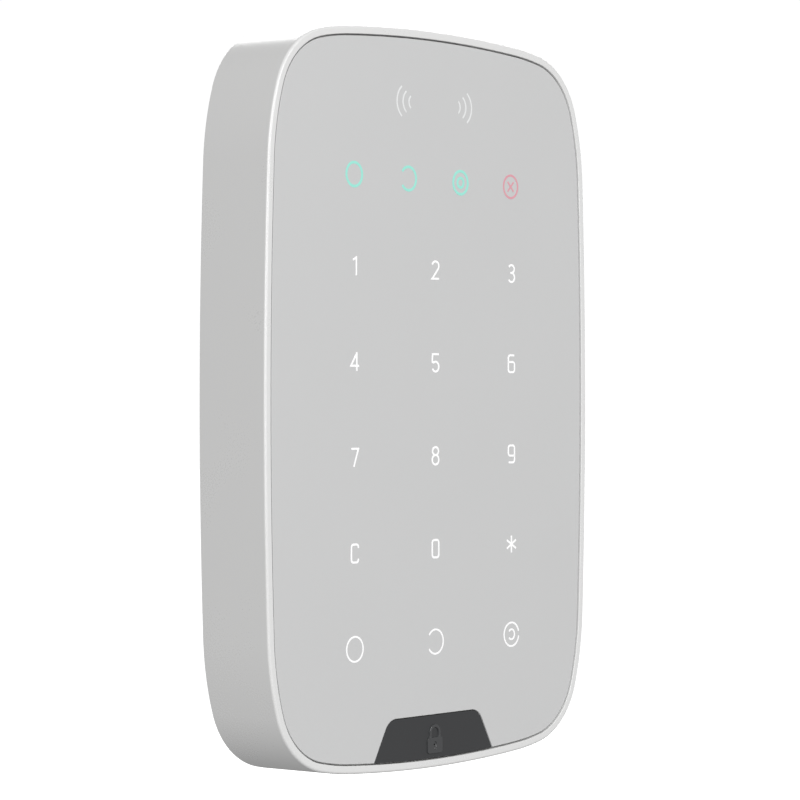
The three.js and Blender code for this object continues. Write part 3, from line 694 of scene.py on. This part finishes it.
# Paths of points on the front face, stood up as walls that get the stroke's width.
def strokes(name, paths, width, front, rear):
    bm = bmesh.new()
    for number, path in enumerate(paths):
        looped = path[0] == path[-1]
        points = path[:-1] if looped else path
        lift = number % liftSteps * liftStep
        verts = [bm.verts.new((x * mm, (front - lift) * mm, z * mm)) for x, z in points]
        edges = [bm.edges.new(pair) for pair in zip(verts, verts[1:])]
        if looped:
            edges.append(bm.edges.new((verts[-1], verts[0])))
        grown = bmesh.ops.extrude_edge_only(bm, edges=edges)["geom"]
        moved = [v for v in grown if isinstance(v, bmesh.types.BMVert)]
        bmesh.ops.translate(bm, vec=(0, (rear - front + lift) * mm, 0), verts=moved)
    piece = makeObject(name, bm)
    modifier = piece.modifiers.new("stroke", "SOLIDIFY")
    modifier.thickness = width * mm
    modifier.offset = 0
    modifier.use_even_offset = True
    applyModifiers(piece)
    return piece


# Points on an ellipse about x and z, from one angle to another.
def arc(x, z, across, up, start, stop, steps=20):
    turns = [math.radians(start + (stop - start) * i / steps) for i in range(steps + 1)]
    return [(x + across * math.cos(turn), z + up * math.sin(turn)) for turn in turns]


def shift(paths, x, z):
    return [[(x + a, z + b) for a, b in path] for path in paths]


# A path whose last point is exactly its first.
def closed(path):
    return [*path[:-1], path[0]]


def ring(radius, steps=64):
    return closed(arc(0, 0, radius, radius, 0, 360, steps))


# A ring that is open on one side.
def openRing(radius, start=-145, stop=145, steps=56):
    return arc(0, 0, radius, radius, start, stop, steps)


# A plain closed padlock with a keyhole, raised on the badge.
def makePadlock(size):
    top = size["bodyTop"]
    front = badge["front"] - size["proud"]
    rear = badge["front"] + size["root"]
    half = size["bodyWidth"] / 2
    bm = bmesh.new()
    roundedBlock(bm, (-half, front, top - size["bodyHeight"]), (half, rear, top), size["bodyCorner"])
    piece = makeObject("padlockSign", bm)
    keyhole = bmesh.new()
    centre = top - size["bodyHeight"] * size["keyholeDown"]
    before, floor = badge["front"] - 1, badge["front"] - size["keyholeFloor"]
    rod(keyhole, 0, centre, before, floor, size["keyholeRadius"])
    slot = size["keyholeRadius"] / 2
    block(keyhole, (-slot, before, centre - size["keyholeDrop"]), (slot, floor, centre))
    combine(piece, keyhole)
    r = size["shackleRadius"]
    foot = top - size["root"]
    shackle = [(r, foot), *arc(0, top + size["shackleLeg"], r, r, 0, 180, 28), (-r, foot)]
    bow = strokes("bow", [shackle], size["shackleStroke"], front, rear)
    combine(piece, takeMesh(bow), "UNION")
    bm = takeMesh(piece)
    bmesh.ops.remove_doubles(bm, verts=bm.verts, dist=size["merge"] * mm)
    piece = makeObject("padlockSign", bm)
    soften(piece, size["edge"], clamp=False)
    return piece


settle(makeBadge(badge), finishes["badge_plastic"], "keypad", "badge_plastic", "front_badge")
# The padlock gets the badge colour painted lighter, a painted highlight on the raised sign.
settle(makePadlock(padlock), finishes["badge_polish"], "keypad", "badge_plastic")

print("stage: legends")

legends = {
    "height": 4.35,
    "width": 2.75,
    "stroke": 0.45,
    "signStroke": 0.4,
    "statusStroke": 0.62,
    "waveStroke": 0.42,
    "depth": 0.03,
    "columns": (-27.3, 0.25, 27.8),
    "rows": (29.0, 8.2, -12.6, -33.4, -54.2),
    "signRadius": 2.72,
    "statusX": (-27.5, -9.15, 9.15, 27.5),
    "statusZ": 49.0,
    "statusRadius": 2.6,
    "innerMark": 0.42,  # the mark inside a ring, as a share of the ring's radius
    "faultRingStroke": 0.8,  # these two are shares of the status stroke
    "faultCrossStroke": 0.7,
    "waveZ": 66.0,
    "waveX": 13.1,
    "waveStep": 2.05,
    "waveHeight": 3.3,
    "waveShrink": 0.3,
    "waveBow": 1.25,
    "root": 0.05,
}


# The strokes of each figure about its middle: w and h are half its width and height to the stroke's middle.
def figures(size):
    w = (size["width"] - size["stroke"]) / 2
    h = (size["height"] - size["stroke"]) / 2
    bowl = h * 0.54
    head = h - bowl
    corner = w * 0.55
    left, right = -w + corner, w - corner
    low, high = -h + corner, h - corner
    belt = h * 0.2

    def bend(x, z, start, stop):
        return arc(x, z, corner, corner, start, stop, 8)

    oval = [
        *bend(right, high, 0, 90),
        *bend(left, high, 90, 180),
        *bend(left, low, 180, 270),
        *bend(right, low, 270, 360),
    ]
    upper = [*arc(0, h - head, w * 0.92, head, 150, -88), (-w * 0.35, h - 2 * head)]
    lower = [(-w * 0.35, -h + 2 * bowl), *arc(0, -h + bowl, w, bowl, 88, -150)]
    slope = [(w * 0.55, h), (-w * 1.15, -h * 0.42), (w * 1.2, -h * 0.42)]
    belly = arc(0, -h + bowl * 1.06, w, bowl * 1.06, 125, -155)
    hoops = [arc(0, h - head, w * 0.9, head, -90, 270, 36), arc(0, -h + bowl, w, bowl, 90, 450, 36)]
    six = [
        (w * 0.92, h * 0.98),
        (w * 0.35, h),
        *bend(left, high, 95, 180),
        *bend(left, low, 180, 270),
        *bend(right, low, 270, 360),
        *bend(right, belt - corner, 0, 90),
        (-w, belt),
    ]
    rays = [(math.cos(turn) * h, math.sin(turn) * h) for turn in map(math.radians, (90, 30, 150))]
    return {
        "1": [[(-w * 0.55, h * 0.72), (w * 0.42, h), (w * 0.42, -h)]],
        "2": [[*arc(0, h - w * 0.92, w, w * 0.92, 165, -35), (-w, -h), (w * 1.05, -h)]],
        "3": [upper, lower],
        "4": [slope, [(w * 0.55, h * 1.1), (w * 0.55, -h)]],
        "5": [[(w, h), (-w * 0.92, h), (-w, h * 0.12), *belly]],
        "6": [six],
        "7": [[(-w, h), (w, h), (-w * 0.3, -h)]],
        "8": [closed(hoop) for hoop in hoops],
        "9": [[(-x, -z) for x, z in six]],
        "C": [[(w, h * 0.6), *oval, (w, -h * 0.6)]],
        "0": [[*oval, oval[0]]],
        "*": [[(x, z), (-x, -z)] for x, z in rays],
    }


def keyPaths(size):
    drawn = figures(size)
    paths = []
    for z, row in zip(size["rows"], ("123", "456", "789", "C0*")):
        for x, figure in zip(size["columns"], row):
            paths += shift(drawn[figure], x, z)
    return paths


def signPaths(size):
    r = size["signRadius"]
    left, middle, right = size["columns"]
    z = size["rows"][-1]
    target = [openRing(r, 14, 350, 60), openRing(r * size["innerMark"], -140, 140, 32)]
    return [*shift([ring(r)], left, z), *shift([openRing(r)], middle, z), *shift(target, right, z)]


# Three arcs on each side of the reader's middle, the inner ones shorter.
def wavePaths(size):
    paths = []
    for number in range(3):
        x = size["waveX"] - number * size["waveStep"]
        half = size["waveHeight"] * (1 - number * size["waveShrink"])
        radius = half * size["waveBow"]
        turn = math.degrees(math.asin(half / radius))
        path = arc(x - radius, size["waveZ"], radius, radius, -turn, turn, 24)
        paths += [path, [(-a, b) for a, b in path]]
    return paths


def makeLegend(name, paths, width, slotName):
    front, root = panel["front"] - legends["depth"], panel["front"] + legends["root"]
    piece = strokes(name, paths, width, front, root)
    settle(piece, finishes[slotName], "keypad", slotName)


makeLegend("keyFigures", keyPaths(legends), legends["stroke"], "legend_white")
makeLegend("keySigns", signPaths(legends), legends["signStroke"], "legend_white")
makeLegend("readerWaves", wavePaths(legends), legends["waveStroke"], "legend_grey")


def makeStatusLegends(size):
    r = size["statusRadius"]
    first, second, third, fourth = size["statusX"]
    z = size["statusZ"]
    teal = [
        *shift([ring(r)], first, z),
        *shift([openRing(r)], second, z),
        *shift([ring(r), ring(r * size["innerMark"], 40)], third, z),
    ]
    reach = r * size["innerMark"]
    cross = [[(-reach, -reach), (reach, reach)], [(-reach, reach), (reach, -reach)]]
    stroke = size["statusStroke"]
    makeLegend("statusRings", teal, stroke, "legend_teal")
    makeLegend("faultRing", shift([ring(r)], fourth, z), stroke * size["faultRingStroke"], "legend_red")
    makeLegend("faultCross", shift(cross, fourth, z), stroke * size["faultCrossStroke"], "legend_red")


makeStatusLegends(legends)

print("stage: screws and cells")

slots = {each["node"]: each["material_slot"] for each in frame["record"]["subparts"]}
screws = {
    "headRadius": 2.3,
    "headHeight": 1.0,
    "headEdge": 0.1,
    "crownFlat": 0.35,  # a share of the head's radius
    "shank": 1.0,
    "plain": 0.4,
    "thread": 0.14,
    "pitch": 0.55,
    "threadGap": 1.4,
    "tip": 0.6,
    "recessReach": 1.25,
    "recessWidth": 0.5,
    "recessDepth": 0.65,
    "segments": 40,
}
lockScrew = {**screws, "headRadius": 2.5, "headHeight": 1.4, "shank": 1.45, "thread": 0.16, "pitch": 0.6}
cells = {
    "radius": 7.1,
    "nubRadius": 2.75,
    "nubLength": 1.2,
    "nubFoot": 0.5,
    "nubRound": 0.3,
    "sleeveRoll": 0.9,
    "sleeveThick": 0.12,
    "footLift": 0.1,
    "crimpRadius": 5.6,
    "crimpWidth": 0.8,
    "crimpDepth": 0.4,
    "segments": 64,
}


# A screw standing on its tip at the origin, with a cross in its head.
def screwBody(size, length):
    seat = length - size["headHeight"]
    shank, head, pitch = size["shank"], size["headRadius"], size["pitch"]
    core = shank - size["thread"]
    profile = [(0, 0), (core / 2, 0), (core, size["tip"])]
    for turn in range(int((seat - size["threadGap"]) / pitch)):
        foot = size["tip"] + turn * pitch
        profile += [(shank, foot + pitch / 2), (core, foot + pitch)]
    edge = size["headEdge"]
    profile += [(shank, seat - size["plain"]), (shank, seat), (head - edge, seat), (head, seat + edge)]
    flat = head * size["crownFlat"]
    profile += arc(flat, length - size["headHeight"] / 2, head - flat, size["headHeight"] / 2, 0, 75, 5)
    profile.append((0, length))
    piece = makeObject("screwBody", turnedBody(profile, Matrix(), size["segments"]))
    cross = bmesh.new()
    reach, half, floor = size["recessReach"], size["recessWidth"] / 2, length - size["recessDepth"]
    block(cross, (-reach, -half, floor), (reach, half, length + 1))
    block(cross, (-half, -reach, floor), (half, reach, length + 1))
    combine(piece, cross)
    return takeMesh(piece)


def placeScrew(node, size, place, length):
    bm = screwBody(size, length)
    bmesh.ops.transform(bm, matrix=place, verts=bm.verts)
    piece = makeObject(plainName(node), bm)
    settle(piece, finishes["sheet_steel"], "keypad", slots[node], node)


# cover_screw_1 becomes coverScrew1, and buzzer becomes buzzerBody.
def plainName(node):
    first, *rest = node.split("_")
    return first + ("".join(each.title() for each in rest) or "Body")


for kind, count in (("cover_screw", 6), ("chassis_screw", 4), ("board_screw", 4)):
    for number in range(1, count + 1):
        node = f"{kind}_{number}"
        low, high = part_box(node)
        middle = (low + high) / 2 / mm
        place = Matrix.Translation((0, low.y, 0)) @ alongY(middle.x, middle.z)
        placeScrew(node, screws, place, (high.y - low.y) / mm)

low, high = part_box("locking_screw")
place = Matrix.Translation((0, (low.y + high.y) / 2, high.z)) @ Matrix.Rotation(math.pi, 4, "X")
placeScrew("locking_screw", lockScrew, place, (high.z - low.z) / mm)


# A cell: a steel can in a shrunk sleeve that rolls over both ends, with the button inside a crimped ring.
def cellBody(size, length):
    roll, crimp, nub = size["sleeveRoll"], size["crimpRadius"], size["nubRadius"]
    flat = size["radius"] - roll
    face = length - size["nubLength"]
    floor = face - size["crimpDepth"]
    ledge = crimp - size["crimpWidth"]
    shelf = face - size["sleeveThick"]
    return turnedBody(
        [
            (0, size["footLift"]),
            (crimp, size["footLift"]),
            (crimp, 0),
            (flat, 0),
            *arc(flat, roll, roll, roll, -75, 0, 3),
            *arc(flat, face - roll, roll, roll, 0, 75, 3),
            (flat, face),
            (crimp, face),
            (crimp, shelf),
            (ledge, shelf),
            (ledge - size["crimpDepth"], floor),
            (nub + size["nubFoot"], floor),
            (nub, face),
            (nub, length - size["nubRound"]),
            (nub - size["nubRound"], length),
            (0, length),
        ],
        Matrix(),
        size["segments"],
    )


# The four cells stand head to tail.
for number in range(1, 5):
    node = f"battery_{number}"
    low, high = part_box(node)
    middle = (low + high) / 2
    pointsUp = number % 2 == 1
    foot = Matrix.Translation((middle.x, middle.y, low.z if pointsUp else high.z))
    turn = Matrix() if pointsUp else Matrix.Rotation(math.pi, 4, "X")
    bm = cellBody(cells, (high.z - low.z) / mm)
    bmesh.ops.transform(bm, matrix=foot @ turn, verts=bm.verts)
    material = finishes["cell_sleeve" if pointsUp else "cell_sleeve_down"]
    settle(makeObject(plainName(node), bm), material, "keypad", slots[node], node)

print("stage: pieces behind the front")

edgeWidths = {
    "mounting_bracket": 0.25,
    "rear_cover": 0.2,
    "chassis": 0.15,
    "power_button": 0.25,
    "tamper_plunger": 0.12,
    "radio_shield": 0.1,
    "buzzer": 0.2,
    "battery_plug": 0.15,
    "battery_socket": 0.15,
}
smallEdge = 0.06
flatness = math.radians(0.6)

# Wire, foam and springs keep their solids, because rounding would spoil thin round wires.
leftPlain = ("tamper_spring", "contact_negative", "contact_link", "panel_adhesive", "battery_lead")


# A copy of a node's solid with its flat faces made whole and its edges rounded.
def rounded(node, width):
    bm = bmesh.new()
    bm.from_mesh(frame["nodes"][node].data)
    bmesh.ops.remove_doubles(bm, verts=bm.verts, dist=2e-6)
    bmesh.ops.dissolve_limit(bm, angle_limit=flatness, verts=bm.verts, edges=bm.edges, delimit=set())
    piece = makeObject(plainName(node), bm)
    soften(piece, width)
    return piece


for node in sorted(frame["nodes"]):
    if frame["nodes"][node].hide_render:
        continue
    material = finishes[slots[node]]
    if node.startswith(leftPlain):
        frame["nodes"][node].data.materials.clear()
        frame["nodes"][node].data.materials.append(material)
    else:
        body = frame["nodes"][node]["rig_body"]
        settle(rounded(node, edgeWidths.get(node, smallEdge)), material, body, slots[node], node)

print("stage: floor, light and camera")

studio = {
    "floorZ": -430.0,
    "floorSize": 24000.0,
    "floorGlow": 0.8,
    "surround": 0.32,
    "backdrop": 1.02,
    "lamps": {
        "keyLamp": {"azimuth": -50, "elevation": 15, "distance": 3000, "width": 1800, "power": 46},
        "fillLamp": {"azimuth": 8, "elevation": 20, "distance": 3000, "width": 1800, "power": 37},
        "backLamp": {"azimuth": 132, "elevation": 30, "distance": 3000, "width": 1800, "power": 48},
    },
    "eye": (-538.55, -463.12, 1.74),
    "azimuth": -49.90,
    "lens": 140.2,
    "sensor": 36.0,
    "shiftY": -0.0103,
}


# A pale floor far below. It glows for the camera and lights nothing.
def makeFloor(size):
    bm = bmesh.new()
    bmesh.ops.create_grid(bm, x_segments=1, y_segments=1, size=size["floorSize"] / 2 * mm)
    bmesh.ops.translate(bm, vec=(0, 0, size["floorZ"] * mm), verts=bm.verts)
    floor = makeObject("studioFloor", bm)

    def paint(where):
        cloud = where.noise(0.002, 2.0)
        colour = cloud.mix((0.9, 0.9, 0.9, 1), (0.93, 0.93, 0.93, 1))
        return {"Base Color": colour, "Roughness": 0.85 + cloud * 0.1}

    glow = {"Emission_Color": (1, 1, 1, 1), "Emission_Strength": size["floorGlow"]}
    floor.data.materials.append(finish("palePaper", paint, **glow))
    floor.visible_diffuse = False
    floor.visible_glossy = False


# The camera sees a white backdrop, while the object is lit and mirrored by a dimmer one.
def makeWorld(size):
    world = bpy.data.worlds.new("studioAir")
    bpy.context.scene.world = world
    world.use_nodes = True
    tree = world.node_tree
    seen = Wire(tree).node("LightPath", {}, {}, output="Is Camera Ray")
    level = seen * (size["backdrop"] - size["surround"]) + size["surround"]
    tree.links.new(tree.nodes["Background"].inputs["Strength"], level.socket)
    tree.nodes["Background"].inputs["Color"].default_value = (1, 1, 1, 1)


# A square soft lamp that faces the origin. Azimuth 0 is in front, and it grows towards +X.
def makeLamp(name, size):
    light = bpy.data.lights.new(name, "AREA")
    light.shape = "SQUARE"
    light.size = size["width"] * mm
    light.energy = size["power"]
    lamp = bpy.data.objects.new(name, light)
    bpy.context.scene.collection.objects.link(lamp)
    a, e = math.radians(size["azimuth"]), math.radians(size["elevation"])
    outward = Vector((math.sin(a) * math.cos(e), -math.cos(a) * math.cos(e), math.sin(e)))
    lamp.location = outward * size["distance"] * mm
    lamp.rotation_euler = outward.to_track_quat("Z", "Y").to_euler()


def makeCamera(size):
    camera = bpy.data.objects.new("viewCamera", bpy.data.cameras.new("viewCamera"))
    bpy.context.scene.collection.objects.link(camera)
    camera.data.lens = size["lens"]
    camera.data.sensor_width = size["sensor"]
    camera.data.shift_y = size["shiftY"]
    camera.data.clip_start = 0.01
    camera.data.clip_end = 100
    camera.location = [each * mm for each in size["eye"]]
    camera.rotation_euler = (math.radians(90), 0, math.radians(size["azimuth"]))
    bpy.context.scene.camera = camera


makeFloor(studio)
makeWorld(studio)
for lampName, lampSize in studio["lamps"].items():
    makeLamp(lampName, lampSize)
makeCamera(studio)
bpy.context.scene.view_settings.view_transform = "Standard"
